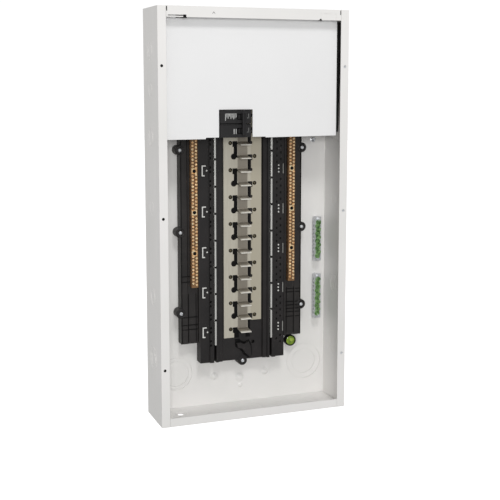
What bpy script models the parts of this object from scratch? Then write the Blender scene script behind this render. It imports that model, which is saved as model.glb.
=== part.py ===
"""Residential load center: a sheet-steel box with plug-on breaker interior, built from separate pieces.

The box stands on its bottom edge. X runs across its width, -Y is the open front, +Z is up, and the
origin is under the middle of the box. Sizes are in inches, the unit that this hardware is made in.
A place in the box is given as (across, depth, height): across from the box's centreline, depth back
from the plane of the front flanges, and height above the bottom edge.
"""
import math

import bmesh
import bpy
from mathutils import Vector

for old in list(bpy.data.objects):
    bpy.data.objects.remove(old, do_unlink=True)

INCH = 0.0254
GAP = 0.013                       # running gap between neighbours, about 0.33 mm

# enclosure
BOX_WIDTH = 14.31
BOX_DEPTH = 3.88
BOX_HEIGHT = 29.58
SHEET = 0.06                      # steel sheet
FLANGE = 0.61                     # width of the side flanges
TOP_FLANGE = 0.76
BOTTOM_FLANGE = 0.62
FLANGE_HOLE_HEIGHTS = (25.53, 15.0, 4.18)

# breaker rows: stabs lie an inch apart, and the two bus bars take them in turn
ROW_PITCH = 1.0
FIRST_ROW = 22.0
LAST_ROW = 6.0
BUS_FRONT = 2.90                  # depth of the bus bars' front face
BUS_THICK = 0.08
BUS_OUTER = 1.485
BUS_INNER = 0.685
FINGER_REACH = 0.40
STAB_TIP = 2.05                   # depth of the stab's front edge
BUS_TOP = 22.95
BUS_BOTTOM = {-1: 5.35, 1: 6.60}

# plastic interior
BASE_HALF = 3.34
BASE_BOTTOM = 3.59
BASE_TOP = 23.2
BASE_BACK = 3.80
SUPPORT_OUTER = 4.78
SUPPORT_BOTTOM = 5.15
SUPPORT_TOP = 22.9
EAR_X = 4.80
EAR_HEIGHTS = (19.55, 13.52, 7.49)
EAR_RADIUS = 0.36
EAR_FRONT = 2.98
BOTTOM_EAR = (3.50, 2.95)         # height of its screw, depth of its front

# neutral parts
RAIL_X = 2.22
RAIL_FRONT = 2.63
RAIL_THICK = 0.125
RAIL_BOTTOM = {-1: 4.95, 1: 5.15}
RAIL_NOTCH = {-1: 18.85, 1: 19.38}
NEUTRAL_X = 3.83
NEUTRAL_WIDTH = 0.515
NEUTRAL_FRONT = 2.60
NEUTRAL_BACK = 2.98
NEUTRAL_BOTTOM = 9.45
NEUTRAL_TOP = 22.55
NEUTRAL_HOLES = (18.04, 15.02, 12.0)
CLIP_HEIGHTS = (18.02, 15.0, 11.98, 8.96, 5.94)

# service barrier
BARRIER_FRONT = 0.60
BARRIER_BOTTOM = 20.45
BARRIER_TOP = 29.2
BARRIER_HALF = 6.50
NOTCH = (-2.58, -0.06)
NOTCH_TOP = 22.50

# main breaker: two poles, one on each bus bar
POLE_HEIGHTS = {"upper": 22.0, "lower": 21.0}
NOSE_HALF = 0.465
NOSE_FRONT = 0.50
CASE_FRONT = 1.0
CASE_BACK = 2.55
CASE_LEFT = -3.05
CASE_RIGHT = -0.02
NOSE = (-2.53, -0.19)
HANDLE_PIVOT = (-0.93, 0.82)      # across, depth
HANDLE_TILT = math.radians(10.0)  # switched on, the handle leans towards the bus
ARM_PIVOT = (-1.62, 1.36)
ARM_TIP = (-0.85, 1.62)

# grounding bars on the back wall
GROUND_X = (6.02, 6.58)
GROUND_SPANS = {"upper": (10.74, 14.15), "lower": (6.22, 9.69)}
GROUND_FRONT = 3.22
GROUND_BACK = 3.58

LEVEL_AT = (4.12, 4.58)
LEVEL_RADIUS = 0.43

COLOURS = {
    "painted_steel": ((0.78, 0.79, 0.78), 0.45, 0.0),
    "barrier_paint": ((0.82, 0.82, 0.82), 0.5, 0.0),
    "black_plastic": ((0.035, 0.033, 0.032), 0.5, 0.0),
    "breaker_case": ((0.03, 0.03, 0.032), 0.45, 0.0),
    "tinned_bus": ((0.62, 0.59, 0.52), 0.35, 1.0),
    "tinned_bright": ((0.8, 0.8, 0.8), 0.25, 1.0),
    "brass_bar": ((0.72, 0.52, 0.24), 0.3, 1.0),
    "copper": ((0.72, 0.38, 0.22), 0.35, 1.0),
    "aluminium": ((0.7, 0.7, 0.71), 0.4, 1.0),
    "zinc_screw": ((0.66, 0.67, 0.68), 0.3, 1.0),
    "white_clip": ((0.85, 0.85, 0.84), 0.5, 0.0),
    "level_fluid": ((0.45, 0.6, 0.08), 0.15, 0.0),
}


def material(slot):
    """The slot's Principled material, made the first time that it is asked for."""
    found = bpy.data.materials.get(slot)
    if found:
        return found
    colour, roughness, metallic = COLOURS[slot]
    made = bpy.data.materials.new(slot)
    made.use_nodes = True
    shader = made.node_tree.nodes["Principled BSDF"]
    shader.inputs["Base Color"].default_value = (*colour, 1.0)
    shader.inputs["Roughness"].default_value = roughness
    shader.inputs["Metallic"].default_value = metallic
    return made


def at(across, depth, height):
    """A place in the box, in the part's own frame in metres."""
    return Vector((across, depth - BOX_DEPTH / 2, height)) * INCH


def add_mesh(name, bm, slot=None, pivot=None):
    """Make the object; pivot (across, depth, height) becomes its origin."""
    bmesh.ops.recalc_face_normals(bm, faces=bm.faces)
    origin = at(*pivot) if pivot else Vector()
    bmesh.ops.translate(bm, verts=bm.verts, vec=-origin)
    mesh = bpy.data.meshes.new(name)
    bm.to_mesh(mesh)
    bm.free()
    mesh.set_sharp_from_angle(angle=math.radians(35))
    obj = bpy.data.objects.new(name, mesh)
    obj.location = origin
    bpy.context.scene.collection.objects.link(obj)
    if slot:
        mesh.materials.append(material(slot))
    else:
        obj.hide_render = True
        obj.display_type = "WIRE"
    return obj


def prism(bm, outline, plane, low, high):
    """Extrude a closed outline. plane says which two axes it is drawn in: "xz", "xd" or "dz"."""
    def point(a, b, c):
        return {"xz": at(a, c, b), "xd": at(a, b, c), "dz": at(c, a, b)}[plane]
    bottom = [bm.verts.new(point(a, b, low)) for a, b in outline]
    top = [bm.verts.new(point(a, b, high)) for a, b in outline]
    bm.faces.new(bottom)
    bm.faces.new(top)
    for i in range(len(outline)):
        j = (i + 1) % len(outline)
        bm.faces.new((bottom[i], bottom[j], top[j], top[i]))


def block(bm, across, depth, height):
    """A rectangular block between three (low, high) pairs."""
    (x0, x1), (d0, d1) = across, depth
    prism(bm, [(x0, d0), (x1, d0), (x1, d1), (x0, d1)], "xd", *height)


def circle(centre, radius, sides=16):
    """Points of a circle, drawn in whichever plane the prism uses."""
    return [(centre[0] + radius * math.cos(math.tau * i / sides),
             centre[1] + radius * math.sin(math.tau * i / sides)) for i in range(sides)]


def arc(centre, radius, start, end, steps):
    """Points along part of a circle, angles in degrees."""
    angles = [math.radians(start + (end - start) * i / steps) for i in range(steps + 1)]
    return [(centre[0] + radius * math.cos(a), centre[1] + radius * math.sin(a)) for a in angles]


def wire_way(centre, half):
    """A square opening with small chamfers, whose flat roof takes the clamping screw."""
    cut = 0.18 * half
    corners = [(half, half - cut), (half - cut, half)]
    quarter = [(-b, a) for a, b in corners]
    loop = corners + quarter + [(-a, -b) for a, b in corners + quarter]
    return [(centre[0] + a, centre[1] + b) for a, b in loop]


def combine(target, bm, name, operation):
    """Join a mesh to the target, or cut it away, with a live Boolean."""
    tool = add_mesh(f"{target.name}_{name}", bm)
    boolean = target.modifiers.new(name, "BOOLEAN")
    boolean.operation = operation
    boolean.solver = "EXACT"
    boolean.object = tool
    return target


def simple(name, slot, shapes, pivot=None):
    """One piece from one drawing: shapes is a function that draws into a new mesh."""
    bm = bmesh.new()
    shapes(bm)
    return add_mesh(name, bm, slot, pivot)


def drawn(draw):
    """A mesh drawn by a function, for use as a Boolean tool."""
    bm = bmesh.new()
    draw(bm)
    return bm


# ---------------------------------------------------------------- enclosure

def enclosure():
    """The wrapper is one sheet bent into back, sides and front flanges; two end walls close it."""
    half = BOX_WIDTH / 2
    outline = [(-half, 0), (-half, BOX_DEPTH), (half, BOX_DEPTH), (half, 0), (half - FLANGE, 0),
               (half - FLANGE, SHEET), (half - SHEET, SHEET), (half - SHEET, BOX_DEPTH - SHEET),
               (SHEET - half, BOX_DEPTH - SHEET), (SHEET - half, SHEET), (FLANGE - half, SHEET),
               (FLANGE - half, 0)]
    wrapper = simple("enclosure_wrapper", "painted_steel",
                     lambda bm: prism(bm, outline, "xd", 0, BOX_HEIGHT))

    def screw_holes(bm):
        for side in (-1, 1):
            for height in FLANGE_HOLE_HEIGHTS:
                prism(bm, circle((side * 6.88, height), 0.105), "xz", -0.1, 0.2)
        prism(bm, circle((6.08, 20.07), 0.1), "xz", BOX_DEPTH - 0.2, BOX_DEPTH + 0.1)
    combine(wrapper, drawn(screw_holes), "screw_holes", "DIFFERENCE")

    inner = half - SHEET - GAP
    lip = half - FLANGE - GAP
    for name, wall, flange in (("top_end_wall", (BOX_HEIGHT - SHEET, BOX_HEIGHT),
                                (BOX_HEIGHT - TOP_FLANGE, BOX_HEIGHT)),
                               ("bottom_end_wall", (0, SHEET), (0, BOTTOM_FLANGE))):
        back = BOX_DEPTH - SHEET - GAP
        outline = [(-lip, 0), (lip, 0), (lip, SHEET + GAP), (inner, SHEET + GAP), (inner, back),
                   (-inner, back), (-inner, SHEET + GAP), (-lip, SHEET + GAP)]
        end = simple(name, "painted_steel", lambda bm: prism(bm, outline, "xd", *wall))
        combine(end, drawn(lambda bm: block(bm, (-lip, lip), (0, SHEET), flange)), "flange", "UNION")
        if name == "top_end_wall":
            low = BOX_HEIGHT - TOP_FLANGE
            slot = [(-6.42, low + 0.08), (-5.33, low + 0.08), (-5.33, low - 0.1),
                    (-5.1, low - 0.1), (-5.1, low + 0.17), (-5.33, low + 0.17),
                    (-5.33, low + 0.15), (-6.42, low + 0.15)]

            def openings(bm):
                prism(bm, slot, "xz", -0.1, 0.2)
                prism(bm, circle((4.92, low), 0.1), "xz", -0.1, 0.2)
            combine(end, drawn(openings), "openings", "DIFFERENCE")
        else:
            combine(end, drawn(lambda bm: prism(bm, circle((-5.1, 2.35), 0.24), "xd", -0.1, 0.2)),
                    "entry_hole", "DIFFERENCE")


def service_barrier():
    """A white plate over the main compartment, folded back at both sides, with two wall brackets."""
    low, high = BARRIER_BOTTOM, BARRIER_BOTTOM + 0.1
    outline = [(-BARRIER_HALF, low), (-3.57, low), (-3.54, high), (NOTCH[0], high),
               (NOTCH[0], NOTCH_TOP), (NOTCH[1], NOTCH_TOP), (NOTCH[1], high), (0.92, high),
               (0.96, low + 0.04), (BARRIER_HALF, low + 0.08), (BARRIER_HALF, BARRIER_TOP),
               (-BARRIER_HALF, BARRIER_TOP)]
    plate = simple("service_barrier", "barrier_paint",
                   lambda bm: prism(bm, outline, "xz", BARRIER_FRONT, BARRIER_FRONT + SHEET))

    def returns(bm):
        for side in (-1, 1):
            edges = sorted((side * BARRIER_HALF, side * (BARRIER_HALF - SHEET)))
            block(bm, edges, (BARRIER_FRONT + 0.01, 1.15), (low + 0.3, BARRIER_TOP - 0.3))
    combine(plate, drawn(returns), "returns", "UNION")

    wall = BOX_WIDTH / 2 - SHEET - GAP
    for side, name in ((-1, "left"), (1, "right")):
        simple(f"barrier_bracket_{name}", "painted_steel", lambda bm: prism(
            bm, [(side * a, d) for a, d in ((wall, 1.2), (wall, 2.2), (wall - SHEET, 2.2),
                                            (wall - SHEET, 1.26), (5.9, 1.26), (5.9, 1.2))],
            "xd", 23.6, 26.0))


# ---------------------------------------------------------------- plastic interior

def bus_base():
    """The moulded centre base: bus floor, two grooves for the neutral rails, clip shelves, an ear."""
    side = [(BASE_HALF, BASE_BACK), (BASE_HALF, 2.90), (2.62, 2.90), (2.62, 2.76), (2.31, 2.76),
            (2.31, 3.32), (2.13, 3.32), (2.13, 2.76), (1.96, 2.76), (1.92, 2.86), (1.62, 2.86),
            (1.56, 3.0)]
    mirrored = [(-x, d) for x, d in reversed(side)]
    base = simple("bus_base", "black_plastic",
                  lambda bm: prism(bm, side + mirrored, "xd", BASE_BOTTOM, BASE_TOP))

    def ear(bm):
        prism(bm, circle((0, BOTTOM_EAR[0]), EAR_RADIUS, 24), "xz", BOTTOM_EAR[1], BASE_BACK - 0.02)
    combine(base, drawn(ear), "ear", "UNION")

    def hook(bm):
        outline = [(-0.50, 4.92), (-0.42, 4.55), (-0.05, 4.45), (0.18, 4.10), (0.52, 3.80),
                   (0.66, 3.95), (0.60, 4.62), (0.42, 4.98), (0.05, 4.80), (-0.2, 4.95)]
        prism(bm, outline, "xz", 2.78, 3.1)
    combine(base, drawn(hook), "hook", "UNION")

    def holes(bm):
        prism(bm, circle((0, BOTTOM_EAR[0]), 0.1), "xz", 2.7, 4.0)
        prism(bm, circle((0.86, 4.88), 0.14), "xz", 2.7, 3.4)
    combine(base, drawn(holes), "holes", "DIFFERENCE")


def neutral_supports():
    """A moulded rail under each neutral bar, with three screw ears, ribs and a trough."""
    for side, name in ((-1, "left"), (1, "right")):
        section = [(side * a, d) for a, d in (
            (SUPPORT_OUTER, BASE_BACK), (SUPPORT_OUTER, 3.0), (SUPPORT_OUTER - 0.5, 3.0),
            (SUPPORT_OUTER - 0.56, 3.06), (3.50, 3.06), (3.46, 2.84), (BASE_HALF + GAP, 2.84),
            (BASE_HALF + GAP, BASE_BACK))]
        support = simple(f"neutral_support_{name}", "black_plastic",
                         lambda bm: prism(bm, section, "xd", SUPPORT_BOTTOM, SUPPORT_TOP))

        def ears(bm):
            for height in EAR_HEIGHTS:
                prism(bm, circle((side * EAR_X, height), EAR_RADIUS, 24), "xz",
                      EAR_FRONT, BASE_BACK - 0.02)
        combine(support, drawn(ears), "ears", "UNION")

        def holes(bm):
            for height in EAR_HEIGHTS:
                prism(bm, circle((side * EAR_X, height), 0.1), "xz", 2.7, 4.0)
        combine(support, drawn(holes), "holes", "DIFFERENCE")


def screw(name, slot, across, height, head_front, head, shank, tip):
    """A pan-head screw driven back into the box: head and shank are radii, tip is a depth."""
    def draw(bm):
        steps = ((head_front, head * 0.62), (head_front + 0.03, head * 0.95),
                 (head_front + 0.09, head), (head_front + 0.09, shank), (tip - 0.05, shank),
                 (tip, shank * 0.4))
        rings = [[bm.verts.new(at(a, depth, b)) for a, b in circle((across, height), radius)]
                 for depth, radius in steps]
        bm.faces.new(rings[0])
        bm.faces.new(rings[-1])
        for low, high in zip(rings, rings[1:]):
            for i in range(len(low)):
                j = (i + 1) % len(low)
                bm.faces.new((low[i], low[j], high[j], high[i]))
    return simple(name, slot, draw)


def interior_screws():
    """One screw in each ear of the interior."""
    spots = [(side * EAR_X, height, EAR_FRONT, f"interior_screw_{name}_{i + 1}")
             for side, name in ((-1, "left"), (1, "right"))
             for i, height in enumerate(EAR_HEIGHTS)]
    spots.append((0, *BOTTOM_EAR, "interior_screw_bottom"))
    for across, height, front, name in spots:
        screw(name, "zinc_screw", across, height, front - 0.105, 0.13, 0.08, 3.78)


# ---------------------------------------------------------------- bus bars and neutral

def stab_rows(side):
    """Heights of the stabs on one bus bar: the left bar has the even rows, the right the odd ones."""
    first = FIRST_ROW if side < 0 else FIRST_ROW - ROW_PITCH
    count = int((first - LAST_ROW) / (2 * ROW_PITCH)) + 1
    return [first - 2 * ROW_PITCH * i for i in range(count)]


def finger_section(row):
    """Depth-height outline of one finger: a flat plate whose lower edge is bent forward as the stab."""
    back = BUS_FRONT + BUS_THICK
    inside = 0.08
    centre = (BUS_FRONT - inside, row + 0.04 + inside)
    outer = arc(centre, inside + BUS_THICK, 0, -90, 4)
    inner = arc(centre, inside, -90, 0, 3)
    tip_top = row - 0.06
    tip = [(STAB_TIP + 0.03, tip_top - BUS_THICK), (STAB_TIP, tip_top - BUS_THICK + 0.02),
           (STAB_TIP, tip_top - 0.02), (STAB_TIP + 0.03, tip_top)]
    return [(back, row + 0.9)] + outer + tip + inner + [(BUS_FRONT, row + 0.9)]


def bus_bars():
    """Two flat bars whose fingers interleave, each finger ending in a stab."""
    for side, name in ((-1, "left"), (1, "right")):
        edges = sorted((side * BUS_OUTER, side * BUS_INNER))
        bar = simple(f"bus_bar_{name}", "tinned_bus", lambda bm: block(
            bm, edges, (BUS_FRONT, BUS_FRONT + BUS_THICK), (BUS_BOTTOM[side], BUS_TOP)))

        def fingers(bm):
            for row in stab_rows(side):
                ends = sorted((side * (BUS_INNER + 0.05), -side * FINGER_REACH))
                prism(bm, finger_section(row), "dz", *ends)
        combine(bar, drawn(fingers), "fingers", "UNION")

        def cuts(bm):
            for row in stab_rows(side):
                prism(bm, circle((side * 0.95, row), 0.14), "xz", 2.8, 3.1)
                near, far = sorted((side * FINGER_REACH, side * (BUS_INNER + 0.1)))
                block(bm, (near, far), (1.8, 3.1), (row - 0.3, row + 0.13))
            for row in stab_rows(-side):
                radius = 0.23 if side < 0 else 0.12
                prism(bm, circle((side * 0.68, row), radius), "xz", 2.8, 3.1)
        combine(bar, drawn(cuts), "cuts", "DIFFERENCE")


def neutral_parts():
    """Neutral bars, plug-on neutral rails, the strap that joins the bars, the service lug."""
    for side, name in ((-1, "left"), (1, "right")):
        low, high = side * NEUTRAL_X - NEUTRAL_WIDTH / 2, side * NEUTRAL_X + NEUTRAL_WIDTH / 2
        bar = simple(f"neutral_bar_{name}", "brass_bar", lambda bm: block(
            bm, (low, high), (NEUTRAL_FRONT, NEUTRAL_BACK), (NEUTRAL_BOTTOM, NEUTRAL_TOP)))

        def mounting_holes(bm):
            for height in NEUTRAL_HOLES:
                prism(bm, circle((side * NEUTRAL_X, height), 0.1), "xz", 2.4, 3.2)
        combine(bar, drawn(mounting_holes), "mounting_holes", "DIFFERENCE")

        rail_edges = (side * RAIL_X - RAIL_THICK / 2, side * RAIL_X + RAIL_THICK / 2)
        rail = simple(f"neutral_rail_{name}", "tinned_bright", lambda bm: block(
            bm, rail_edges, (RAIL_FRONT, 3.28), (RAIL_BOTTOM[side], NEUTRAL_TOP)))

        def notches(bm):
            for i in range(8):
                height = RAIL_NOTCH[side] + 2 - 2 * i
                if height > RAIL_BOTTOM[side]:
                    block(bm, (side * RAIL_X - 0.2, side * RAIL_X + 0.2), (2.5, RAIL_FRONT + 0.42),
                          (height - 0.08, height + 0.08))
        combine(rail, drawn(notches), "notches", "DIFFERENCE")

    simple("neutral_strap", "tinned_bright", lambda bm: block(
        bm, (-4.05, 4.05), (NEUTRAL_FRONT - GAP - 0.09, NEUTRAL_FRONT - GAP), (22.62, 23.2)))
    strap_front = NEUTRAL_FRONT - GAP - 0.09
    lug = simple("neutral_lug", "aluminium", lambda bm: block(
        bm, (3.35, 4.25), (1.45, strap_front - GAP), (22.64, 23.64)))

    def bores(bm):
        prism(bm, wire_way((3.8, 1.98), 0.32), "xd", 22.5, 23.8)
        prism(bm, circle((3.8, 23.14), 0.25, 20), "xz", 1.3, 1.9)
    combine(lug, drawn(bores), "bores", "DIFFERENCE")
    simple("neutral_lug_screw", "zinc_screw",
           lambda bm: prism(bm, circle((3.8, 23.14), 0.232, 20), "xz", 1.28, 1.78))


def rail_clips():
    """White retainers on the shelves beside the rails: C-shaped tabs left, straight ones right."""
    hooked = [(-3.19, -0.40), (-2.97, -0.40), (-2.97, -0.32), (-3.11, -0.32), (-3.11, 0.32),
              (-2.87, 0.32), (-2.87, 0.40), (-3.19, 0.40)]
    straight = [(3.19, -0.38), (3.25, -0.38), (3.25, 0.38), (3.19, 0.38)]
    for name, shape in (("left", hooked), ("right", straight)):
        for i, height in enumerate(CLIP_HEIGHTS):
            outline = [(a, height + b) for a, b in shape]
            simple(f"rail_clip_{name}_{i + 1}", "white_clip",
                   lambda bm: prism(bm, outline, "xz", 2.80, 2.90 - GAP))


# ---------------------------------------------------------------- main breaker

def breaker_case(name, centre):
    """One pole's moulded case: a shell with a handle slot, a lug hole and a mouth over the stab."""
    outline = [(CASE_LEFT, CASE_FRONT + 0.12), (CASE_LEFT + 0.1, CASE_FRONT), (NOSE[0], CASE_FRONT),
               (NOSE[0], NOSE_FRONT + 0.05), (NOSE[0] + 0.05, NOSE_FRONT),
               (NOSE[1] - 0.05, NOSE_FRONT), (NOSE[1], NOSE_FRONT + 0.05), (NOSE[1], CASE_FRONT),
               (CASE_RIGHT, CASE_FRONT + 0.1), (CASE_RIGHT, CASE_BACK), (-2.7, CASE_BACK),
               (-2.72, 2.86), (CASE_LEFT, 2.86)]
    case = simple(f"main_case_{name}", "breaker_case", lambda bm: prism(
        bm, outline, "xd", centre - NOSE_HALF, centre + NOSE_HALF))

    def hollow(bm):
        block(bm, (-2.92, -0.62), (1.14, 2.42), (centre - 0.36, centre + 0.36))
    combine(case, drawn(hollow), "hollow", "DIFFERENCE")

    def mouths(bm):
        block(bm, (-1.26, -0.60), (0.4, 1.3), (centre - 0.21, centre + 0.21))
        block(bm, (-0.70, 0.1), (1.62, 2.7), (centre - 0.32, centre + 0.32))
        prism(bm, circle((-2.72, centre), 0.15), "xz", 0.8, 1.3)
        prism(bm, circle((1.98, centre), 0.21), "dz", -3.2, -2.88)
    combine(case, drawn(mouths), "mouths", "DIFFERENCE")


def breaker_works(name, centre):
    """Stab jaw with its fixed contact, load lug and lug screw of one pole."""
    def jaw(bm):
        outline = [(2.50, centre - 0.27), (2.50, centre - 0.20), (1.80, centre - 0.20),
                   (1.80, centre + 0.18), (2.50, centre + 0.18), (2.50, centre + 0.25),
                   (1.74, centre + 0.25), (1.74, centre - 0.27)]
        prism(bm, outline, "dz", -0.46, -0.07)
    piece = simple(f"main_jaw_{name}", "copper", jaw)
    combine(piece, drawn(lambda bm: block(bm, (-0.98, -0.40), (1.74, 1.80),
                                          (centre - 0.12, centre + 0.12))), "strap", "UNION")
    combine(piece, drawn(lambda bm: prism(bm, circle((ARM_TIP[0], centre), 0.09), "xz",
                                          1.69, 1.77)), "contact", "UNION")

    lug = simple(f"main_lug_{name}", "aluminium", lambda bm: block(
        bm, (-2.90, -2.42), (1.62, 2.34), (centre - 0.26, centre + 0.26)))

    def bores(bm):
        prism(bm, wire_way((1.98, centre), 0.19), "dz", -3.2, -2.2)
        prism(bm, circle((-2.72, centre), 0.13), "xz", 1.5, 1.9)
    combine(lug, drawn(bores), "bores", "DIFFERENCE")
    simple(f"main_lug_screw_{name}", "zinc_screw",
           lambda bm: prism(bm, circle((-2.72, centre), 0.115), "xz", 1.06, 1.86))


def turned(point, centre, angle):
    """A point of an upright drawing turned about a centre in the across-depth plane."""
    a, d = point[0] * math.cos(angle) - point[1] * math.sin(angle), \
        point[0] * math.sin(angle) + point[1] * math.cos(angle)
    return (centre[0] + a, centre[1] + d)


def handle():
    """Two toggles on moulded trunnions, tied by a bar so that both poles switch together."""
    outline = [(0.12, -0.56), (-0.12, -0.56)] + arc((0, 0), 0.30, 237, -57, 14)
    outline = [turned(p, HANDLE_PIVOT, HANDLE_TILT) for p in outline]
    for name, centre in POLE_HEIGHTS.items():
        simple(f"main_handle_{name}", "breaker_case", lambda bm: prism(
            bm, outline, "xd", centre - 0.17, centre + 0.17), pivot=(*HANDLE_PIVOT, centre))
    tie = [(-0.15, -0.56 - GAP), (0.15, -0.56 - GAP), (0.15, -0.64), (0.12, -0.67),
           (-0.12, -0.67), (-0.15, -0.64)]
    tie = [turned(p, HANDLE_PIVOT, HANDLE_TILT) for p in tie]
    middle = sum(POLE_HEIGHTS.values()) / 2
    simple("main_handle_tie", "breaker_case", lambda bm: prism(
        bm, tie, "xd", middle - 0.82, middle + 0.82), pivot=(*HANDLE_PIVOT, middle))


def contact_arms():
    """A copper arm per pole that carries the moving contact."""
    run = math.atan2(ARM_TIP[1] - ARM_PIVOT[1], ARM_TIP[0] - ARM_PIVOT[0])
    length = math.dist(ARM_PIVOT, ARM_TIP)
    section = arc((0, 0), 0.09, 45, 315, 8) + [(0.3, -0.04), (length + 0.08, -0.04),
                                              (length + 0.08, 0.03), (0.3, 0.03)]
    for name, centre in POLE_HEIGHTS.items():
        outline = [turned(p, ARM_PIVOT, run) for p in section]
        simple(f"main_contact_arm_{name}", "copper", lambda bm: prism(
            bm, outline, "xd", centre - 0.1, centre + 0.1), pivot=(*ARM_PIVOT, centre))


def main_breaker():
    for name, centre in POLE_HEIGHTS.items():
        breaker_case(name, centre)
        breaker_works(name, centre)
    handle()
    contact_arms()


# ---------------------------------------------------------------- grounding and level

def grounding():
    """Two terminal bars on the back wall, each held by two screws."""
    for name, (low, high) in GROUND_SPANS.items():
        bar = simple(f"ground_bar_{name}", "aluminium", lambda bm: block(
            bm, GROUND_X, (GROUND_FRONT, GROUND_BACK), (low, high)))
        middle = sum(GROUND_X) / 2
        ends = (low + 0.18, high - 0.18)

        def feet(bm):
            for height in ends:
                prism(bm, circle((middle, height), 0.2), "xz",
                      GROUND_BACK - 0.02, BOX_DEPTH - SHEET - GAP)
        combine(bar, drawn(feet), "feet", "UNION")

        def holes(bm):
            for height in ends:
                prism(bm, circle((middle, height), 0.1), "xz", 3.0, 4.0)
        combine(bar, drawn(holes), "holes", "DIFFERENCE")
        for place, height in zip(("low", "high"), ends):
            screw(f"ground_bar_screw_{name}_{place}", "zinc_screw", middle, height,
                  GROUND_FRONT - 0.105, 0.16, 0.08, 3.78)


def spirit_level():
    """A round bubble level beside the interior: a cup and its filled lens."""
    across, height = LEVEL_AT
    cup = simple("level_cup", "black_plastic", lambda bm: prism(
        bm, circle((across, height), LEVEL_RADIUS, 28), "xz", 3.34, BOX_DEPTH - SHEET - GAP))
    combine(cup, drawn(lambda bm: prism(bm, circle((across, height), LEVEL_RADIUS - 0.07, 28),
                                        "xz", 3.2, 3.62)), "well", "DIFFERENCE")
    simple("level_vial", "level_fluid", lambda bm: prism(
        bm, circle((across, height), LEVEL_RADIUS - 0.07 - GAP, 28), "xz", 3.37, 3.62 - GAP))


enclosure()
service_barrier()
bus_base()
neutral_supports()
interior_screws()
bus_bars()
neutral_parts()
rail_clips()
main_breaker()
grounding()
spirit_level()
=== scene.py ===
# %% [markdown]
# # A residential load center, piece by piece
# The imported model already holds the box, the plastic interior, the bus bars and the main breaker in
# their true places. This lesson dresses that model: it softens the edges, adds the small hardware
# that is too fine for the solid model, and gives every surface the finish of the real thing.

# %% Load the fixed frame
import math
import random

import bmesh
import bpy
from mathutils import Matrix, Vector


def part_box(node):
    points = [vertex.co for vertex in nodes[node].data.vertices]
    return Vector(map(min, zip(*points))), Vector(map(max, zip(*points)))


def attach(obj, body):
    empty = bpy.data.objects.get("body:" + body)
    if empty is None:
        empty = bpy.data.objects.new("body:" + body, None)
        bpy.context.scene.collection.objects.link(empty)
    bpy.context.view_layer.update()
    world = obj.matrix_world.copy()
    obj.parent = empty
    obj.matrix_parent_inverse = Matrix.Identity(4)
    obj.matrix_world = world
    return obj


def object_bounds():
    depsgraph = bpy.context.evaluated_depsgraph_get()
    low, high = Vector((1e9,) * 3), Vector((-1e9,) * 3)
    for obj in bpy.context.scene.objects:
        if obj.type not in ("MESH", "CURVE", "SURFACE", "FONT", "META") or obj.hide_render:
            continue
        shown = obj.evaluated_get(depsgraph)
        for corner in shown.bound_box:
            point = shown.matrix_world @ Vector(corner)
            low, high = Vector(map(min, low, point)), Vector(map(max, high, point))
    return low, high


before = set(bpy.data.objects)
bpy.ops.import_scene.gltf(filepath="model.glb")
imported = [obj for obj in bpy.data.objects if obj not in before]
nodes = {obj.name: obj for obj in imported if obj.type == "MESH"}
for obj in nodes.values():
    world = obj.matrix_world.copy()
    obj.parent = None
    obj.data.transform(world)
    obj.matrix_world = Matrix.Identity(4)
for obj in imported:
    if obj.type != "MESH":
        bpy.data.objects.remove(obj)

cad_low, cad_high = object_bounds()
print("nodes", len(nodes), "box", [round(v, 4) for v in cad_high - cad_low])

# %% [markdown]
# ## One way to say where things are
# This hardware is laid out in inches: stabs lie an inch apart and screws follow the same grid. So a
# place is given as (across from the centreline, depth behind the front flanges, height above the
# bottom edge), and one function turns that into metres.

# %% Places in inches
INCH = 0.0254
FRONT = cad_low.y
BOX_TOP = 29.58
BACK_FACE = 3.82          # inside of the back wall
BUS_PLANE = 2.90          # front of the bus bars, and of the base beside the rails
NEUTRAL_X = 3.83
CLIP_ROWS = [18.02 - 3.02 * k for k in range(5)]
FLANGE_HOLES = (25.53, 15.0, 4.18)


def spot(across, depth, height):
    """A place in the box, in metres."""
    return Vector((across * INCH, FRONT + depth * INCH, height * INCH))


def tone(red, green, blue):
    """A paint-chart colour, 0 to 255, as the linear colour that a shader needs."""
    parts = [v / 255 for v in (red, green, blue)]
    return tuple(p / 12.92 if p <= 0.04045 else ((p + 0.055) / 1.055) ** 2.4 for p in parts) + (1.0,)


print("front plane at", round(FRONT, 4), "mid grey", [round(v, 3) for v in tone(128, 128, 128)])

# %% [markdown]
# ## Camera
# A catalogue view: a long lens a couple of metres away, a little to the left and slightly above, so
# that the uprights stay parallel. The small lens shift drops the box in the picture without tilting.

# %% Camera
YAW, PITCH = 0.356, -0.132
lens = bpy.data.cameras.new("catalogue_camera")
lens.sensor_width = 36.0
lens.lens = 72.3
lens.shift_y = -0.07
lens.clip_end = 50.0
camera = bpy.data.objects.new("catalogue_camera", lens)
bpy.context.scene.collection.objects.link(camera)
ahead = Vector((math.sin(YAW) * math.cos(PITCH), math.cos(YAW) * math.cos(PITCH), math.sin(PITCH)))
right = Vector((math.cos(YAW), -math.sin(YAW), 0.0))
upward = right.cross(ahead)
turn = Matrix((right, upward, -ahead)).transposed()
camera.matrix_world = Matrix.Translation(spot(-25.282, -66.685, 24.46)) @ turn.to_4x4()
bpy.context.scene.camera = camera
print("camera at", [round(v, 3) for v in camera.location])

# %% [markdown]
# ## Floor and light
# A white studio sweep: the floor is one pale sheet that glows a little, so that it stays white right
# to the horizon. A broad lamp in front does most of the work, a smaller one above draws the shadow
# under the top flange, and one at the left and the white room fill the rest.

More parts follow.
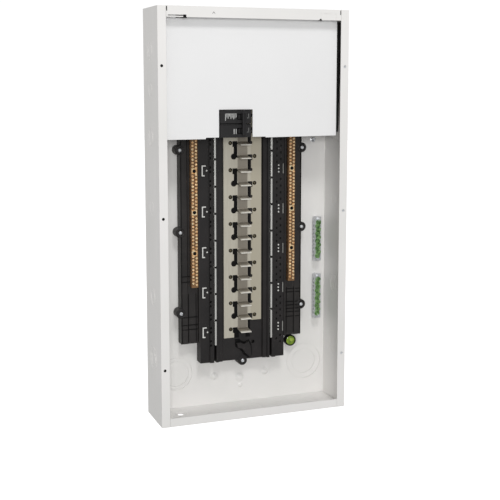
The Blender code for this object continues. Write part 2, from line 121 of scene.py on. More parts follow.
# %% Studio
scene = bpy.context.scene
scene.view_settings.view_transform = "Standard"
room = bpy.data.worlds.new("white_room")
scene.world = room
room.use_nodes = True
air = room.node_tree.nodes
background = air["Background"]
background.inputs["Color"].default_value = (1.0, 1.0, 1.0, 1.0)
background.inputs["Strength"].default_value = 0.42
seen = air.new("ShaderNodeBackground")
seen.inputs["Color"].default_value = (1.0, 1.0, 1.0, 1.0)
seen.inputs["Strength"].default_value = 1.05
pick = air.new("ShaderNodeMixShader")
path = air.new("ShaderNodeLightPath")
links = room.node_tree.links
links.new(path.outputs["Is Camera Ray"], pick.inputs[0])
links.new(background.outputs[0], pick.inputs[1])
links.new(seen.outputs[0], pick.inputs[2])
links.new(pick.outputs[0], air["World Output"].inputs["Surface"])


def soft_lamp(name, place, target, size, power):
    """A square studio lamp that points at a place on the object."""
    light = bpy.data.lights.new(name, "AREA")
    light.size = size
    light.energy = power
    lamp = bpy.data.objects.new(name, light)
    scene.collection.objects.link(lamp)
    lamp.location = place
    lamp.rotation_euler = (Vector(target) - Vector(place)).to_track_quat("-Z", "Y").to_euler()


soft_lamp("front_lamp", (-1.3, -4.75, 1.15), (0.0, 0.0, 0.35), 1.2, 80.0)
soft_lamp("top_lamp", (-0.1, -1.6, 2.4), (0.0, 0.0, 0.35), 0.5, 19.0)
soft_lamp("left_lamp", (-2.6, 0.3, 0.9), (0.0, 0.0, 0.35), 1.4, 12.0)

# %% Floor
sheet = bmesh.new()
bmesh.ops.create_circle(sheet, cap_ends=True, radius=9.0, segments=96)
floor_mesh = bpy.data.meshes.new("studio_floor")
sheet.to_mesh(floor_mesh)
sheet.free()
floor = bpy.data.objects.new("studio_floor", floor_mesh)
floor.location.z = -0.0005
floor.visible_diffuse = False
floor.visible_glossy = False
scene.collection.objects.link(floor)
paper = bpy.data.materials.new("studio_paper")
paper.use_nodes = True
paper_shader = paper.node_tree.nodes["Principled BSDF"]
paper_shader.inputs["Base Color"].default_value = (0.9, 0.9, 0.9, 1.0)
paper_shader.inputs["Roughness"].default_value = 0.9
paper_shader.inputs["Emission Color"].default_value = (1.0, 1.0, 1.0, 1.0)
paper_shader.inputs["Emission Strength"].default_value = 0.75
floor_mesh.materials.append(paper)
print("floor radius 9 m")

# %% [markdown]
# ## Finishes
# Real finishes are never one flat colour. Each one here is a colour that drifts a little over a hand's
# width, a gloss that varies at the scale of the coating's grain, and a faint relief. One function
# builds that, and each finish only says how strong each part is.

# %% The finish builder


def finish(name, light, dark, gloss, metal=0.0, drift=12.0, grain=900.0, relief=0.00004, stretch=(1, 1, 1),
           shine=0.5):
    """A material: two tones that drift, a (low, high) roughness and a fine relief in metres."""
    made = bpy.data.materials.new(name)
    made.use_nodes = True
    tree = made.node_tree
    shader = tree.nodes["Principled BSDF"]
    shader.inputs["Metallic"].default_value = metal
    shader.inputs["Specular IOR Level"].default_value = shine
    place = tree.nodes.new("ShaderNodeTexCoord")
    lay = tree.nodes.new("ShaderNodeMapping")
    lay.inputs["Scale"].default_value = stretch
    tree.links.new(place.outputs["Object"], lay.inputs["Vector"])
    slow = tree.nodes.new("ShaderNodeTexNoise")
    slow.inputs["Scale"].default_value = drift
    slow.inputs["Detail"].default_value = 4.0
    fine = tree.nodes.new("ShaderNodeTexNoise")
    fine.inputs["Scale"].default_value = grain
    fine.inputs["Detail"].default_value = 3.0
    tree.links.new(lay.outputs[0], slow.inputs["Vector"])
    tree.links.new(lay.outputs[0], fine.inputs["Vector"])
    ramp = tree.nodes.new("ShaderNodeValToRGB")
    ramp.color_ramp.elements[0].position = 0.3
    ramp.color_ramp.elements[0].color = tone(*dark)
    ramp.color_ramp.elements[1].position = 0.7
    ramp.color_ramp.elements[1].color = tone(*light)
    tree.links.new(slow.outputs["Fac"], ramp.inputs["Fac"])
    tree.links.new(ramp.outputs["Color"], shader.inputs["Base Color"])
    spread = tree.nodes.new("ShaderNodeMapRange")
    spread.inputs["To Min"].default_value = gloss[0]
    spread.inputs["To Max"].default_value = gloss[1]
    tree.links.new(fine.outputs["Fac"], spread.inputs["Value"])
    tree.links.new(spread.outputs["Result"], shader.inputs["Roughness"])
    bump = tree.nodes.new("ShaderNodeBump")
    bump.inputs["Distance"].default_value = relief
    bump.inputs["Strength"].default_value = 1.0
    tree.links.new(fine.outputs["Fac"], bump.inputs["Height"])
    tree.links.new(bump.outputs["Normal"], shader.inputs["Normal"])
    return made


steel_paint = finish("steel_paint", (240, 238, 236), (234, 233, 230), (0.38, 0.52), drift=9.0)
cover_paint = finish("cover_paint", (241, 241, 241), (238, 238, 238), (0.42, 0.56), drift=7.0)
base_plastic = finish("base_plastic", (38, 35, 35), (29, 27, 27), (0.42, 0.6), drift=30.0, grain=1600.0,
                      shine=0.35)
support_plastic = finish("support_plastic", (46, 43, 42), (35, 33, 32), (0.42, 0.6), drift=30.0,
                         grain=1600.0, shine=0.35)
case_plastic = finish("case_plastic", (34, 33, 34), (26, 25, 26), (0.38, 0.55), drift=30.0,
                      grain=2000.0, shine=0.35)
print("finishes so far", [m.name for m in (steel_paint, cover_paint, base_plastic, case_plastic)])

# %% [markdown]
# The metals follow the same recipe with the metallic value at one. Rolled bar stock has its grain
# along its length, so its noise is stretched that way; a screw head is small enough to need none.

# %% Metal finishes
bus_tin = finish("bus_tin", (211, 206, 191), (200, 194, 179), (0.36, 0.44), 0.5, 40.0, 700.0, 0.000006,
                 (6, 1, 0.5))
bright_tin = finish("bright_tin", (240, 240, 236), (222, 221, 217), (0.2, 0.32), 0.7, 30.0, 900.0,
                    0.00002, (6, 1, 0.5))
brass = finish("brass", (158, 122, 84), (122, 88, 60), (0.3, 0.45), 0.5, 60.0, 900.0, 0.00002)
bare_copper = finish("bare_copper", (196, 122, 88), (168, 98, 70), (0.28, 0.42), 1.0, 60.0)
plain_aluminium = finish("plain_aluminium", (222, 224, 226), (200, 202, 205), (0.3, 0.45), 0.6, 60.0,
                         1200.0, 0.00003, (1, 1, 4))
zinc = finish("zinc", (236, 238, 240), (204, 207, 212), (0.22, 0.38), 0.6, 120.0, 2500.0, 0.00002)
black_oxide = finish("black_oxide", (128, 120, 98), (96, 88, 68), (0.3, 0.45), 1.0, 120.0, 2500.0,
                     0.00002)
green_zinc = finish("green_zinc", (158, 200, 134), (44, 92, 34), (0.3, 0.45), 0.4, 190.0, 2500.0,
                    0.00002)
white_nylon = finish("white_nylon", (226, 226, 222), (214, 214, 210), (0.35, 0.5), 0.0, 60.0)
shaded_nylon = finish("shaded_nylon", (152, 152, 148), (128, 128, 124), (0.4, 0.55), 0.0, 60.0)
# Near black: the real black of the level cup, and painted shade wherever it fills a seam, window, ring or
# gap that shows only shade.
black_and_painted_shade = finish("black_and_painted_shade", (14, 13, 13), (9, 9, 9), (0.6, 0.75), 0.0, 60.0, shine=0.15)
pale_print = finish("pale_print", (188, 188, 186), (160, 160, 158), (0.5, 0.65), 0.0, 400.0)
dull_print = finish("dull_print", (122, 122, 120), (96, 96, 95), (0.5, 0.65), 0.0, 400.0)
level_green = finish("level_green", (140, 168, 48), (70, 100, 22), (0.08, 0.14), 0.0, 160.0, 400.0,
                     0.0, shine=0.6)
print("finishes", len(bpy.data.materials))

# %% [markdown]
# The bus fingers carry painted shade: their faces are painted darker, where the stab above shades them,
# and the tips of the stabs carry a painted highlight where the front light falls on them. Both zones
# follow the place on the bar, so the material measures where it is with a few Math nodes.

# %% Painted shade on the fingers and painted highlight on the tips


def zone(tree, source, low, high, blend_width):
    """A mask that is 1 between low and high along one coordinate, with soft ends."""
    rise = tree.nodes.new("ShaderNodeMapRange")
    rise.inputs["From Min"].default_value = low - blend_width
    rise.inputs["From Max"].default_value = low
    fall = tree.nodes.new("ShaderNodeMapRange")
    fall.inputs["From Min"].default_value = high + blend_width
    fall.inputs["From Max"].default_value = high
    both = tree.nodes.new("ShaderNodeMath")
    both.operation = "MULTIPLY"
    tree.links.new(source, rise.inputs["Value"])
    tree.links.new(source, fall.inputs["Value"])
    tree.links.new(rise.outputs["Result"], both.inputs[0])
    tree.links.new(fall.outputs["Result"], both.inputs[1])
    return both.outputs[0]


def tint(tree, mask, colour):
    """Mix a colour over what the shader already has, where the mask says."""
    shader = tree.nodes["Principled BSDF"]
    base = shader.inputs["Base Color"].links[0].from_socket
    mix = tree.nodes.new("ShaderNodeMix")
    mix.data_type = "RGBA"
    mix.inputs["B"].default_value = colour
    tree.links.new(mask, mix.inputs["Factor"])
    tree.links.new(base, mix.inputs["A"])
    tree.links.new(mix.outputs["Result"], shader.inputs["Base Color"])


tin = bus_tin.node_tree
where = tin.nodes.new("ShaderNodeTexCoord")
axes = tin.nodes.new("ShaderNodeSeparateXYZ")
tin.links.new(where.outputs["Object"], axes.inputs[0])
right_bar = zone(tin, axes.outputs["X"], 0.66 * INCH, 1.6 * INCH, 0.0012)
tint(tin, right_bar, tone(196, 189, 170))
# painted shade: the finger faces darker, where the stab above shades them
painted_finger_shade = zone(tin, axes.outputs["X"], -0.36 * INCH, 0.36 * INCH, 0.0012)
tint(tin, painted_finger_shade, tone(156, 149, 137))
# painted highlight: the stab tips brighter, where the front light falls on them
painted_tip_highlight = zone(tin, axes.outputs["Y"], FRONT + 1.9 * INCH, FRONT + 2.2 * INCH, 0.004)
tint(tin, painted_tip_highlight, tone(252, 249, 240))
print("bus zones ready")

# %% [markdown]
# ## Dressing the solid model
# The model's own pieces keep their shape. Their mesh arrives in loose triangles, so each piece gets a
# Weld, a planar Decimate that puts flat faces back together, and then a small Bevel: sheet steel and
# moulded plastic always catch a thin line of light on their edges.

# %% Edges and finishes for the model's own nodes


def dress(name, material, edge=0.0004, steps=2):
    """Give one node its finish and soft edges; edge is the bevel width in metres."""
    node = nodes[name]
    for place in node.material_slots:
        place.material = material
    weld = node.modifiers.new("weld", "WELD")
    weld.merge_threshold = 0.00001
    flat = node.modifiers.new("flat_faces", "DECIMATE")
    flat.decimate_type = "DISSOLVE"
    flat.angle_limit = math.radians(0.5)
    if edge:
        bevel = node.modifiers.new("soft_edges", "BEVEL")
        bevel.width = edge
        bevel.segments = steps
        bevel.limit_method = "ANGLE"
        bevel.angle_limit = math.radians(35)
        bevel.use_clamp_overlap = True


dressings = {
    "enclosure_wrapper": (steel_paint, 0.0007), "top_end_wall": (steel_paint, 0.0006),
    "bottom_end_wall": (steel_paint, 0.0006), "service_barrier": (cover_paint, 0.0005),
    "barrier_bracket_left": (steel_paint, 0.0004), "barrier_bracket_right": (steel_paint, 0.0004),
    "bus_base": (base_plastic, 0.0006), "neutral_support_left": (support_plastic, 0.0006),
    "neutral_support_right": (support_plastic, 0.0006), "bus_bar_left": (bus_tin, 0.0006),
    "bus_bar_right": (bus_tin, 0.0006), "neutral_bar_left": (brass, 0.0003),
    "neutral_bar_right": (brass, 0.0003), "neutral_rail_left": (bright_tin, 0.0003),
    "neutral_rail_right": (bright_tin, 0.0003), "neutral_strap": (bright_tin, 0.0003),
    "neutral_lug": (plain_aluminium, 0.0005), "neutral_lug_screw": (plain_aluminium, 0.0004),
    "ground_bar_upper": (plain_aluminium, 0.0004), "ground_bar_lower": (plain_aluminium, 0.0004),
    "level_cup": (black_and_painted_shade, 0.0003), "level_vial": (level_green, 0.0005),
}
for name, (material, edge) in dressings.items():
    dress(name, material, edge)
for name in nodes:
    if name.startswith("rail_clip_left"):
        dress(name, white_nylon, 0.0003)
    elif name.startswith("rail_clip_right"):
        dress(name, shaded_nylon, 0.0003)
    elif name.startswith(("main_case", "main_handle")):
        dress(name, case_plastic, 0.0005)
    elif name.startswith(("main_jaw", "main_contact")):
        dress(name, bare_copper, 0.0002)
    elif name.startswith("main_lug"):
        dress(name, plain_aluminium, 0.0003)
    elif name.startswith(("interior_screw", "ground_bar_screw")):
        dress(name, zinc, 0.0002)
print("dressed", sum(1 for n in nodes.values() if n.modifiers), "of", len(nodes))

# %% [markdown]
# ## Making small pieces
# Everything below is made with three drawing helpers: a drawn outline pushed along one axis, a profile
# turned about an axis as on a lathe, and a function that turns the drawing into a finished object that
# rides with the right part of the model.

# %% Drawing helpers
DIRECTIONS = {"across": Vector((1, 0, 0)), "depth": Vector((0, 1, 0)), "height": Vector((0, 0, 1))}


def round_outline(radius, sides=20, start=0.0, sweep=360.0):
    """Points of a circle, or of part of one, about the origin."""
    count = sides if sweep == 360.0 else sides + 1
    angles = [math.radians(start + sweep * i / sides) for i in range(count)]
    return [(radius * math.cos(a), radius * math.sin(a)) for a in angles]


def ring_of(bm, points, centre, direction, level):
    """Points (inches) laid round a centre, in the plane across a named axis, level inches along it."""
    first, second = (axis for name, axis in DIRECTIONS.items() if name != direction)
    return [bm.verts.new(spot(*centre) + (first * a + second * b + DIRECTIONS[direction] * level) * INCH)
            for a, b in points]


def join_rings(bm, low_ring, high_ring):
    """The band of faces between two rings of equal length."""
    for i in range(len(low_ring)):
        j = (i + 1) % len(low_ring)
        bm.faces.new((low_ring[i], low_ring[j], high_ring[j], high_ring[i]))


def push(bm, outline, centre, direction, low, high, roll=0.0):
    """Extrude an outline (inches) along a named axis, from low to high inches off the centre."""
    cos, sin = math.cos(roll), math.sin(roll)
    turned = [(a * cos - b * sin, a * sin + b * cos) for a, b in outline]
    low_ring = ring_of(bm, turned, centre, direction, low)
    high_ring = ring_of(bm, turned, centre, direction, high)
    bm.faces.new(low_ring)
    bm.faces.new(high_ring)
    join_rings(bm, low_ring, high_ring)


def lathe(bm, profile, centre, direction="depth", sides=24):
    """Turn a profile of (radius, distance along the axis) about an axis through the centre."""
    rings = [ring_of(bm, round_outline(radius, sides), centre, direction, level)
             for radius, level in profile]
    for low_ring, high_ring in zip(rings, rings[1:]):
        join_rings(bm, low_ring, high_ring)
    bm.faces.new(rings[0])
    bm.faces.new(rings[-1])


def box_outline(width, height):
    """A rectangle about the origin."""
    return [(-width / 2, -height / 2), (width / 2, -height / 2), (width / 2, height / 2),
            (-width / 2, height / 2)]


def piece(name, drawing, material, body="root", edge=0.0, angle=35):
    """Finish a drawing as an object of its own: normals, smooth shading, bevel, finish and body."""
    bmesh.ops.recalc_face_normals(drawing, faces=drawing.faces)
    mesh = bpy.data.meshes.new(name)
    drawing.to_mesh(mesh)
    drawing.free()
    mesh.shade_smooth()
    mesh.set_sharp_from_angle(angle=math.radians(angle))
    mesh.materials.append(material)
    made = bpy.data.objects.new(name, mesh)
    scene.collection.objects.link(made)
    if edge:
        bevel = made.modifiers.new("soft_edges", "BEVEL")
        bevel.width = edge
        bevel.segments = 2
        bevel.angle_limit = math.radians(angle)
    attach(made, body)


print("helpers ready")

# %% [markdown]
# ## Knockouts
# An electrician opens a cable entry by punching out a disc that the factory has already sheared most
# of the way round. Each entry shows as one or two thin rings. They are cut as shallow grooves into the
# steel with a Boolean, so that they are there from inside and outside.

# %% Ring grooves in the steel


def ring_groove(bm, centre, direction, radius, low, high, width=0.1):
    """A thin tube that cuts one ring; two radii joined at both ends make it a closed solid."""
    inner, outer = radius - width / 2, radius + width / 2
    corners = ((inner, low), (outer, low), (outer, high), (inner, high))
    rings = [ring_of(bm, round_outline(size, 48), centre, direction, level) for size, level in corners]
    for low_ring, high_ring in zip(rings, rings[1:] + rings[:1]):
        join_rings(bm, low_ring, high_ring)


def cut_with(name, drawing, cutter_name):
    """Cut a drawing out of a node with a Boolean that is left live."""
    bmesh.ops.recalc_face_normals(drawing, faces=drawing.faces)
    mesh = bpy.data.meshes.new(cutter_name)
    drawing.to_mesh(mesh)
    drawing.free()
    cutter = bpy.data.objects.new(cutter_name, mesh)
    scene.collection.objects.link(cutter)
    cutter.hide_render = True
    cutter.display_type = "WIRE"
    cut = nodes[name].modifiers.new(cutter_name, "BOOLEAN")
    cut.operation = "DIFFERENCE"
    cut.solver = "EXACT"
    cut.object = cutter


DEEP = 0.045
WALL = 0.06
SIDE = 7.155
BACK = 3.88
wall_rings = bmesh.new()
for across, height, outer in ((-4.98, 2.70, 1.2), (5.39, 2.73, 1.36)):
    for radius in (0.92, outer):
        ring_groove(wall_rings, (across, BACK - WALL, height), "depth", radius, -0.05, DEEP)
        ring_groove(wall_rings, (across, BACK, height), "depth", radius - 0.02, -DEEP, 0.05)
for side in (-1, 1):
    for height, radii in ((26.6, (0.44, 0.6)), (23.9, (0.44,)), (20.6, (0.44, 0.6)),
                          (15.6, (0.44,)), (9.2, (0.44, 0.6)), (4.6, (0.44, 0.6, 0.86))):
        for radius in radii:
            ring_groove(wall_rings, (side * SIDE, 2.05, height), "across", radius, -DEEP, 0.05)
            ring_groove(wall_rings, (side * (SIDE - WALL), 2.05, height), "across", radius,
                        min(side * DEEP, side * -0.05), max(side * DEEP, side * -0.05))
cut_with("enclosure_wrapper", wall_rings, "wrapper_ring_cutter")
end_rings = {"top": bmesh.new(), "bottom": bmesh.new()}
for across, radii in ((-5.1, (0.46, 0.72)), (-2.6, (0.44,)), (0.0, (0.6, 0.9, 1.2)), (2.6, (0.44,)),
                      (5.1, (0.46, 0.72))):
    for radius in radii:
        for level in (0.0, WALL):
            cut = (-0.05, DEEP) if level == 0.0 else (-DEEP, 0.05)
            ring_groove(end_rings["bottom"], (across, 2.2, level), "height", radius, *cut)
            ring_groove(end_rings["top"], (across, 2.2, BOX_TOP - WALL + level), "height", radius, *cut)
cut_with("top_end_wall", end_rings["top"], "top_ring_cutter")
cut_with("bottom_end_wall", end_rings["bottom"], "bottom_ring_cutter")
print("ring grooves cut")

# %% [markdown]
# ## Stamped marks on the back wall
# The press that makes the back wall also raises low round bosses for the mounting screws and a
# teardrop one for hanging the box. They are shallow domes, so a lathe profile with a soft foot is
# enough.

# %% Bosses on the back wall
for name, across, height, radius, rise in (("wall_boss_left", -1.98, 2.23, 0.34, 0.13),
                                           ("wall_boss_right", 2.15, 2.21, 0.32, 0.13),
                                           ("wall_boss_middle", 0.06, 1.95, 0.4, 0.12),
                                           ("wall_boss_lower", 0.12, 1.32, 0.22, 0.1),
                                           ("wall_boss_side", 5.6, 22.4, 0.34, 0.07)):
    boss = bmesh.new()
    shape = [(radius * (1 - 0.999 * t), 0.015 - (rise + 0.015) * (1 - (1 - t) ** 2) ** 1.4)
             for t in (0.0, 0.08, 0.18, 0.3, 0.45, 0.6, 0.75, 0.88, 0.96)]
    lathe(boss, shape, (across, BACK_FACE, height), sides=40)
    piece(name, boss, steel_paint, angle=60)
marks = bmesh.new()
for across, height, size in ((-1.05, 1.74, 0.09), (-1.02, 1.98, 0.06), (-6.2, 2.2, 0.05)):
    push(marks, round_outline(size, 3, 90), (across, BACK_FACE, height), "depth", -0.02, 0.01)
piece("wall_stamp_marks", marks, steel_paint, edge=0.0002)
plug = bmesh.new()
lathe(plug, [(0.095, 0.05), (0.095, 0.0), (0.2, -0.004), (0.2, -0.03), (0.15, -0.05), (0.1, -0.03),
             (0.07, 0.0)], (6.08, BACK_FACE, 20.07), sides=28)
piece("wall_grommet", plug, zinc)
print("bosses and stamp marks made")

# %% [markdown]
# ## Screws with real drives
# The model's screws have the right heads but no drive. A cross or a single slot is cut into each one,
# because the dark cross in a bright head is what makes it read as a screw.

# %% Screw drives
LONG, THIN = 0.085, 0.018
PLUS = [(THIN, LONG), (-THIN, LONG), (-THIN, THIN), (-LONG, THIN), (-LONG, -THIN), (-THIN, -THIN),
        (-THIN, -LONG), (THIN, -LONG), (THIN, -THIN), (LONG, -THIN), (LONG, THIN), (THIN, THIN)]
for name in nodes:
    low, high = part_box(name)
    middle = ((low.x + high.x) / 2 / INCH, (low.y - FRONT) / INCH, (low.z + high.z) / 2 / INCH)
    drive = bmesh.new()
    if name.startswith(("interior_screw", "ground_bar_screw")):
        push(drive, PLUS, middle, "depth", -0.05, 0.05, 0.5)
    elif name.startswith(("main_lug_screw", "neutral_lug_screw")):
        size = (high.x - low.x) / INCH * 0.28
        push(drive, round_outline(size, 6), middle, "depth", -0.05, 0.12)
    else:
        drive.free()
        continue
    cut_with(name, drive, f"{name}_drive_cutter")
print("drives cut")

# %% [markdown]
# ## Terminal screws
# A neutral bar takes some sixty conductors, each under a small slotted screw. The screws stand in two
# staggered columns. Each is a turned base with two half-round lands on it, and the slot is the gap
# between the lands. They are one mesh per bar, because they never move apart.

# %% Slotted screws


def slotted_screw(bm, centre, radius, stand, turn_by, sides=14):
    """A round head with a straight slot, facing the open front; stand is how far it stands up."""
    lathe(bm, [(radius * 0.98, 0.02), (radius, -stand * 0.45)], centre, sides=sides)
    gap = radius * 0.17
    for half in (0.0, math.pi):
        land = [(a, b + gap) for a, b in round_outline(radius * 0.93, sides // 2, 0, 180)]
        land = [(a, min(b, radius * 0.96)) for a, b in land]
        push(bm, land, centre, "depth", -stand, -stand * 0.44, turn_by + half)


random.seed(7)
NEUTRAL_HOLES = (18.04, 15.02, 12.0)
# painted shade: dark brown discs round the screws stand in for the shade round each head
well_painted_shade = finish("well_painted_shade", (96, 54, 30), (56, 32, 18), (0.45, 0.6), 0.2, 90.0, 1500.0)
screw_brass = finish("screw_brass", (255, 244, 204), (228, 160, 84), (0.24, 0.38), 0.35, 260.0, 900.0,
                     0.00002)
for side, name in ((-1, "left"), (1, "right")):
    low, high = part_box(f"neutral_bar_{name}")
    face = (low.y - FRONT) / INCH
    screws = bmesh.new()
    well_shades = bmesh.new()
    count = 0
    for k in range(52):
        height = 22.34 - 0.246 * k
        for column, offset in ((-0.13, 0.0), (0.13, 0.123)):
            at_height = height - offset
            if any(abs(at_height - hole) < 0.2 for hole in NEUTRAL_HOLES) or at_height < 9.58:
                continue
            slotted_screw(screws, (side * NEUTRAL_X + column, face, at_height), 0.086, 0.07,
                          random.uniform(0, math.pi), 12)
            # painted shade: a thin dark disc under each screw
            lathe(well_shades, [(0.118, 0.02), (0.118, -0.002 - 0.0004 * (count % 7))],
                  (side * NEUTRAL_X + column, face, at_height), sides=14)
            count += 1
    piece(f"neutral_terminal_screws_{name}", screws, screw_brass, edge=0.00015)
    piece(f"neutral_terminal_well_shades_{name}", well_shades, well_painted_shade)
    plates = bmesh.new()
    sockets = bmesh.new()
    for height in NEUTRAL_HOLES:
        push(plates, box_outline(0.38, 0.4), (side * NEUTRAL_X, face, height), "depth", -0.012, 0.02)
        lathe(sockets, [(0.135, 0.02), (0.135, -0.02), (0.11, -0.026), (0.09, -0.016)],
              (side * NEUTRAL_X, face, height), sides=20)
    piece(f"neutral_bar_pads_{name}", plates, screw_brass, edge=0.0002)
    piece(f"neutral_bar_sockets_{name}", sockets, black_and_painted_shade)
    print("neutral bar", name, "has", count, "screws")

# %% Wire holes in the neutral bars
for side, name in ((-1, "left"), (1, "right")):
    holes = bmesh.new()
    for k in range(37):
        height = 22.25 - 0.345 * k
        if any(abs(height - hole) < 0.2 for hole in NEUTRAL_HOLES):
            continue
        push(holes, round_outline(0.075, 10), (side * NEUTRAL_X, 2.83, height), "across", -0.4, 0.4)
    cut_with(f"neutral_bar_{name}", holes, f"neutral_bar_{name}_wire_hole_cutter")
print("wire holes cut")

# %% [markdown]
# The grounding bars carry green screws, which is the colour that marks an equipment ground. Here they
# stand down the middle of each bar, and the open wire holes look out to the left.

# %% Ground bar screws and holes
for name in ("upper", "lower"):
    low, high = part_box(f"ground_bar_{name}")
    middle = (low.x + high.x) / 2 / INCH
    face = (low.y - FRONT) / INCH
    bottom, top = low.z / INCH, high.z / INCH
    screws = bmesh.new()
    holes = bmesh.new()
    rows = 10
    for k in range(rows):
        height = bottom + 0.42 + (top - bottom - 0.84) * k / (rows - 1)
        slotted_screw(screws, (middle - 0.05 + 0.06 * (k % 2), face, height), 0.195, 0.12,
                      random.uniform(0, math.pi), 18)
        push(holes, round_outline(0.1, 10), (low.x / INCH, face + 0.17, height), "across", -0.2, 0.45)
    piece(f"ground_terminal_screws_{name}", screws, green_zinc, edge=0.0002)
    cut_with(f"ground_bar_{name}", holes, f"ground_bar_{name}_wire_hole_cutter")
print("ground bars have", rows, "screws each")

# %% [markdown]
# ## Fasteners on the bus
# Each stab is matched by a dark fastener on the outer edge of its bar. A thin ring of shadow round a
# low head with a cross is what shows from the front, painted as a black ring round each head. Thin black
# sheets between the bars and the base are painted shade, and make the openings between the fingers look
# black.

# %% Bus fasteners
for side, name, first, count in ((-1, "left", 22.0, 9), (1, "right", 21.0, 8)):
    heads = bmesh.new()
    shadow_rings = bmesh.new()
    for k in range(count):
        centre = (side * 0.95, BUS_PLANE + 0.02, first - 2.0 * k)
        # painted shadow: a thin black ring round each fastener head
        lathe(shadow_rings, [(0.15, 0.0), (0.15, -0.024), (0.13, -0.03), (0.1, -0.03), (0.09, 0.0)], centre)
        lathe(heads, [(0.088, 0.02), (0.088, -0.02), (0.075, -0.03)], centre, sides=20)
        for quarter in range(4):
            land = [(a + 0.012, b + 0.012) for a, b in [(0, 0)] + round_outline(0.056, 6, 0, 90)]
            push(heads, land, centre, "depth", -0.045, -0.025, quarter * math.pi / 2 + 0.3)
    piece(f"bus_fasteners_{name}", heads, black_oxide, edge=0.00015)
    piece(f"bus_fastener_shadow_rings_{name}", shadow_rings, black_and_painted_shade)
print("bus fasteners made")

# %% Painted shade behind the bus windows
# painted shade: thin black sheets behind the windows of the bus and round the hook, where only shade shows
pads = bmesh.new()
for low, high in ((-0.8, -0.27), (0.27, 0.62)):
    push(pads, [(low, 5.3), (high, 5.3), (high, 22.4), (low, 22.4)], (0.0, 0.0, 0.0), "depth",
         2.986, 2.998)
hook_shade_outline = [(-0.6, 5.2), (-0.56, 4.62), (-0.16, 4.33), (0.12, 3.93), (0.5, 3.68), (0.8, 3.88), (0.74, 4.7),
            (0.52, 5.1), (0.2, 4.93), (-0.1, 5.05), (-0.24, 5.2)]
push(pads, hook_shade_outline, (0.0, 0.0, 0.0), "depth", 2.986, 2.998)
piece("bus_window_painted_shade", pads, black_and_painted_shade)
print("window pads made")

# %% [markdown]
# ## Moulded detail of the plastic base
# The base is full of small pockets that the clips of plug-on breakers could reach, and the supports
# are ribbed where they carry no bar. Pockets are cut. The shadow lines between the ribs are painted
# shade: thin black bars.

# %% Pockets in the base
pockets = bmesh.new()
oval = [(a * 0.8, b * 1.0) for a, b in round_outline(0.1, 10)]
for k in range(18):
    row = 22.1 - k
    for offset in (-0.16, 0.16):
        push(pockets, oval, (-2.56, BUS_PLANE, row + offset), "depth", -0.3, 0.14)
    for across, offset in ((2.72, 0.42), (3.04, 0.12), (2.72, -0.1), (3.04, -0.38)):
        height = row + offset
        if all(abs(height - clip) > 0.5 for clip in [21.04] + CLIP_ROWS):
            push(pockets, oval, (across, BUS_PLANE, height), "depth", -0.3, 0.14)
cut_with("bus_base", pockets, "bus_base_pocket_cutter")
print("pockets cut")

# %% Painted rib shadows and ear rings
SUPPORT_FACE = 3.06
rib_shadow_rows = {-1: (10.24, 9.83, 7.16, 6.57, 6.23), 1: (8.75, 8.5, 7.74, 7.47, 7.21, 6.95, 6.59)}
for side, name in ((-1, "left"), (1, "right")):
    rib_shadows = bmesh.new()
    # painted shade: thin black bars for the shadow lines between the ribs
    for height in rib_shadow_rows[side]:
        push(rib_shadows, box_outline(0.74, 0.05), (side * 3.88, SUPPORT_FACE, height), "depth", -0.06, 0.03)
        push(rib_shadows, box_outline(0.46, 0.05), (side * 4.53, 3.0, height), "depth", -0.045, 0.03)
    for across in (3.62, 4.2):
        push(rib_shadows, box_outline(0.04, 3.6), (side * across, SUPPORT_FACE, 7.1), "depth", -0.045, 0.03)
    push(rib_shadows, box_outline(0.05, 17.5), (side * 4.72, 3.0, 14.0), "depth", -0.05, 0.03)
    piece(f"support_rib_shadows_{name}", rib_shadows, black_and_painted_shade, edge=0.0003)
    rings = bmesh.new()
    for height in (19.55, 13.52, 7.49):
        lathe(rings, [(0.34, 0.02), (0.34, -0.03), (0.3, -0.05), (0.25, -0.03), (0.24, 0.02)],
              (side * 4.8, 2.98, height), sides=32)
    piece(f"ear_collars_{name}", rings, base_plastic)
print("rib_shadows", {k: len(v) for k, v in rib_shadow_rows.items()})

# %% [markdown]
# ## Pegs beside the clips
# The white rails' retainers show their pegs: one by each bracket on the left, three in a row on the
# right.

# %% Clip pegs
for name, across, offsets in (("left", -2.79, (0.0,)), ("right", 2.88, (-0.25, 0.0, 0.25))):
    pegs = bmesh.new()
    for height in CLIP_ROWS:
        for offset in offsets:
            lathe(pegs, [(0.062, 0.02), (0.062, -0.03), (0.04, -0.055)],
                  (across, BUS_PLANE, height + offset), sides=12)
    piece(f"clip_pegs_{name}", pegs, white_nylon)
print("pegs made")

# %% [markdown]
# ## Main breaker nose
# The nose of each pole carries a raised rim, a recessed line between the poles, a pale blank rating
# patch and a few moulded tally marks. None of them spells anything.

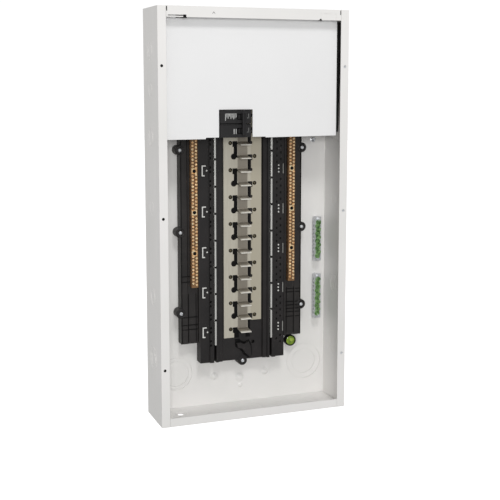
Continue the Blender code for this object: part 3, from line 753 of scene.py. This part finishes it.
# %% Breaker face
NOSE_FACE = 0.5
marks = bmesh.new()
for k, (tall, drop) in enumerate(((0.46, 0.1), (0.2, 0.0), (0.3, 0.03), (0.16, -0.04), (0.34, 0.04),
                                  (0.24, 0.0), (0.36, 0.05), (0.3, 0.02), (0.2, 0.0))):
    push(marks, box_outline(0.06, tall), (-2.14 + 0.1 * k, NOSE_FACE, 22.06 - drop), "depth",
         -0.006, 0.01)
push(marks, box_outline(0.86, 0.05), (-1.72, NOSE_FACE, 22.2), "depth", -0.006, 0.01)
for across in (-1.5, -1.34):
    push(marks, box_outline(0.07, 0.36), (across, NOSE_FACE, 20.96), "depth", -0.006, 0.01)
piece("main_breaker_marks", marks, pale_print)
ticks = bmesh.new()
for height in (21.0, 22.0):
    push(ticks, box_outline(0.05, 0.3), (-0.4, NOSE_FACE, height + 0.06), "depth", -0.006, 0.01)
    push(ticks, box_outline(0.16, 0.05), (-0.45, NOSE_FACE, height - 0.09), "depth", -0.006, 0.01)
    push(ticks, box_outline(0.07, 0.16), (-0.72, NOSE_FACE, height + 0.04), "depth", -0.006, 0.01)
piece("main_breaker_pole_ticks", ticks, dull_print)
rims = bmesh.new()
push(rims, box_outline(1.3, 0.05), (-1.84, NOSE_FACE, 21.46), "depth", -0.04, 0.01)
for height in (21.0, 22.0):
    push(rims, box_outline(2.2, 0.03), (-1.36, NOSE_FACE, height + 0.44), "depth", -0.025, 0.01)
    push(rims, box_outline(0.03, 0.8), (-1.3, NOSE_FACE, height), "depth", -0.02, 0.01)
    push(rims, box_outline(0.03, 0.8), (-0.58, NOSE_FACE, height), "depth", -0.02, 0.01)
piece("main_breaker_rims", rims, case_plastic, edge=0.0003)
print("breaker face made")

# %% [markdown]
# ## Level bubble
# The small round level beside the interior lets the box be set upright. Its vial has a bubble under
# a black ring.

# %% Level
glint = bmesh.new()
lathe(glint, [(0.16, 0.02), (0.16, -0.006), (0.13, -0.02), (0.02, -0.03)],
      (4.2, (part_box("level_vial")[0].y - FRONT) / INCH, 4.64), sides=28)
piece("level_bubble", glint, finish("level_bubble_glint", (176, 196, 84), (140, 164, 60),
                                    (0.05, 0.1), 0.0, 60.0, 300.0, 0.0))
print("level made")

# %% [markdown]
# ## Marks on the top flange
# The top flange shows the seams of its corner tabs and one small stamped arrow. Black strips behind
# them are painted shade. The barrier's top edge is relieved behind the openings in the flange.

# %% Top flange details
flange_cuts = bmesh.new()
for side in (-1, 1):
    push(flange_cuts, box_outline(0.075, 0.4), (side * 6.49, 0.0, 29.42), "depth", -0.1, 0.1)
tab = [(4.925, 28.96), (4.925, 29.3), (6.13, 29.3), (6.13, 28.9), (6.1, 28.9), (6.1, 29.27),
       (4.955, 29.27), (4.955, 28.96)]
push(flange_cuts, tab, (0.0, 0.0, 0.0), "depth", -0.1, 0.025)
arrow = [(-0.12, -0.07), (0.0, 0.09), (0.12, -0.07), (0.08, -0.07), (0.0, 0.03), (-0.08, -0.07)]
push(flange_cuts, arrow, (-3.13, 0.0, 29.16), "depth", -0.1, 0.1)
cut_with("top_end_wall", flange_cuts, "flange_mark_cutter")
# painted shade: black strips behind the seams, the tab slot and the arrow
strips = bmesh.new()
for across, height, wide, tall in ((-6.47, 29.3, 0.14, 0.46), (6.47, 29.3, 0.14, 0.46),
                                   (-5.22, 28.86, 0.34, 0.2), (4.92, 28.86, 0.3, 0.14),
                                   (-3.13, 29.16, 0.34, 0.26)):
    push(strips, box_outline(wide, tall), (across, 0.0, height), "depth", 0.075, 0.1)
piece("flange_seam_painted_shade", strips, black_and_painted_shade, edge=0.0002)
plate_reliefs = bmesh.new()
push(plate_reliefs, box_outline(0.8, 0.6), (-5.3, 0.63, 29.1), "depth", -0.2, 0.2)
push(plate_reliefs, box_outline(0.5, 0.5), (4.92, 0.63, 29.1), "depth", -0.2, 0.2)
cut_with("service_barrier", plate_reliefs, "plate_relief_cutter")
print("flange marks cut")

# %% [markdown]
# The trim is held by screws through the side flanges. A spring nut is pressed on behind each hole, so
# the holes read as dark dots from the front. The left nuts are black as painted shade; the right ones are
# plain zinc.

# %% Spring nuts behind the flange holes
# painted shade: the left nuts are black; the right ones are zinc
for side, name, coat in ((-1, "left", black_and_painted_shade), (1, "right", zinc)):
    nuts = bmesh.new()
    for height in FLANGE_HOLES:
        push(nuts, box_outline(0.3, 0.42), (side * 6.88, 0.0, height), "depth", 0.066, 0.09)
    piece(f"flange_nuts_{name}", nuts, coat, edge=0.0002)
print("spring nuts made")

# %% [markdown]
# The barrier does not quite reach the right-hand wall. A dark strip of painted shade fills the gap beside
# it, wider at the top, where the plate stands furthest from the wall.

# %% Painted shade in the barrier gap
# painted shade: a dark strip in the gap beside the barrier
gap_shade = bmesh.new()
push(gap_shade, [(6.515, 28.74), (6.9, 28.74), (6.68, 20.8), (6.515, 20.8)], (0.0, 0.0, 0.0), "depth",
     0.635, 0.675)
piece("barrier_gap_painted_shade", gap_shade, black_and_painted_shade, edge=0.0003)
print("edge seal made")
